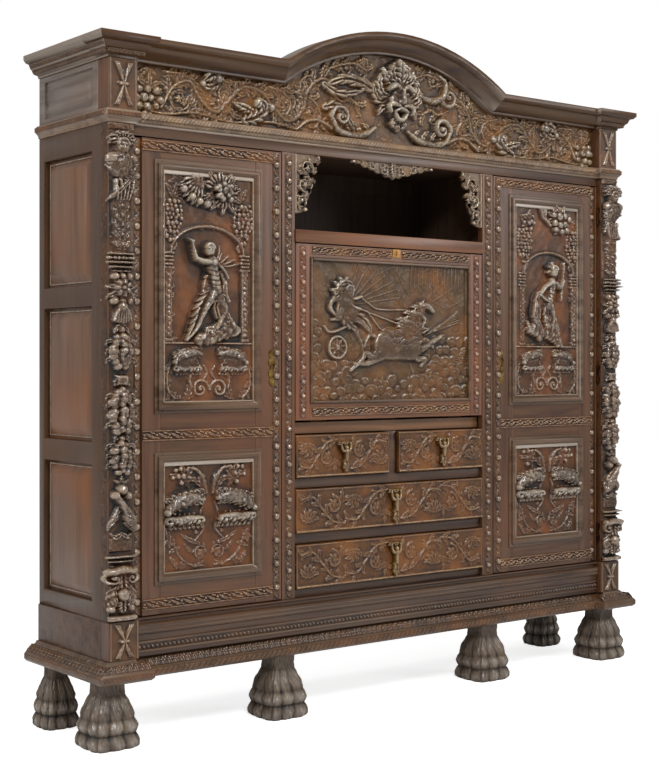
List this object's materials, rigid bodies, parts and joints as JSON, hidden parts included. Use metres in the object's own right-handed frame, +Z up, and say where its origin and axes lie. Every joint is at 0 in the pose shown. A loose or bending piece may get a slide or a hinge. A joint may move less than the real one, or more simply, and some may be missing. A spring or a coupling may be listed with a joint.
{
  "type": "secretary bookcase",
  "caption": "Large carved walnut secretary bookcase with panelled doors, a fall-front desk under an open niche, drawers, an arched cornice with a leafy mask and lion-paw feet.",
  "frame": {"origin": "on the floor under the centre of the overall box", "axes": "+X along the front to the right, +Y to the back, +Z up"},
  "size_m": [2.3, 0.49, 2.215],
  "materials": {
    "case_wood": "dark walnut, waxed, worn lighter on edges",
    "carved_wood": "carved dark walnut, greyer and glossy on the high points",
    "panel_wood": "carved walnut with warm brown ground",
    "foot_wood": "worn grey-brown walnut",
    "inner_wood": "plain dark wood, matt",
    "drawer_wood": "plain secondary wood, unfinished",
    "pull_wood": "carved and waxed wood",
    "brass": "aged brass, dull with bright edges"
  },
  "bodies": {
    "case": {"front_feet": "foot_wood", "rear_feet": "foot_wood", "base_moulding": "foot_wood", "base_board": "inner_wood", "plinth_boards": "case_wood", "plinth_corner_blocks": "carved_wood", "case_boards": "inner_wood", "side_frame_left": "case_wood", "side_frame_right": "case_wood", "side_panels": "panel_wood", "back_frame": "inner_wood", "back_panels": "inner_wood", "partitions": "inner_wood", "pilaster_left": "carved_wood", "pilaster_right": "carved_wood", "centre_stiles": "case_wood", "top_rail": "case_wood", "drawer_rails": "inner_wood", "drawer_runners": "inner_wood", "niche_shelf": "case_wood", "writing_deck": "inner_wood", "pigeonholes": "inner_wood", "shelves": "inner_wood", "shelf_battens": "inner_wood", "niche_carvings": "carved_wood", "frieze_moulding": "case_wood", "frieze_board": "case_wood", "frieze_corner_blocks": "carved_wood", "frieze_ends": "case_wood", "frieze_carving": "carved_wood", "roof_boards": "inner_wood", "cornice": "case_wood", "case_hinges": "brass"},
    "door_left": {"door_left_frame": "case_wood", "door_left_panels": "panel_wood", "door_left_mouldings": "case_wood", "door_left_escutcheon": "brass", "door_left_hinges": "brass"},
    "door_right": {"door_right_frame": "case_wood", "door_right_panels": "panel_wood", "door_right_mouldings": "case_wood", "door_right_escutcheon": "brass", "door_right_hinges": "brass"},
    "fall_front": {"fall_frame": "case_wood", "fall_panel": "panel_wood", "fall_lock": "brass", "fall_stays": "brass"},
    "drawer_top_left": {"drawer_top_left_front": "panel_wood", "drawer_top_left_box": "drawer_wood", "drawer_top_left_pull": "pull_wood"},
    "drawer_top_right": {"drawer_top_right_front": "panel_wood", "drawer_top_right_box": "drawer_wood", "drawer_top_right_pull": "pull_wood"},
    "drawer_middle": {"drawer_middle_front": "panel_wood", "drawer_middle_box": "drawer_wood", "drawer_middle_pull": "pull_wood"},
    "drawer_bottom": {"drawer_bottom_front": "panel_wood", "drawer_bottom_box": "drawer_wood", "drawer_bottom_pull": "pull_wood"}
  },
  "joints": [
    {"name": "door_left_hinge", "type": "hinge", "parent": "case", "child": "door_left", "pos_m": [-1.007, -0.177, 1.08], "axis": [0, 0, -1], "range_deg": [0, 90]},
    {"name": "door_right_hinge", "type": "hinge", "parent": "case", "child": "door_right", "pos_m": [1.007, -0.177, 1.08], "axis": [0, 0, 1], "range_deg": [0, 90]},
    {"name": "fall_hinge", "type": "hinge", "parent": "case", "child": "fall_front", "pos_m": [0, -0.143, 0.935], "axis": [1, 0, 0], "range_deg": [0, 90]},
    {"name": "drawer_top_left_slide", "type": "slide", "parent": "case", "child": "drawer_top_left", "axis": [0, -1, 0], "range_m": [0, 0.25]},
    {"name": "drawer_top_right_slide", "type": "slide", "parent": "case", "child": "drawer_top_right", "axis": [0, -1, 0], "range_m": [0, 0.25]},
    {"name": "drawer_middle_slide", "type": "slide", "parent": "case", "child": "drawer_middle", "axis": [0, -1, 0], "range_m": [0, 0.25]},
    {"name": "drawer_bottom_slide", "type": "slide", "parent": "case", "child": "drawer_bottom", "axis": [0, -1, 0], "range_m": [0, 0.25]}
  ]
}
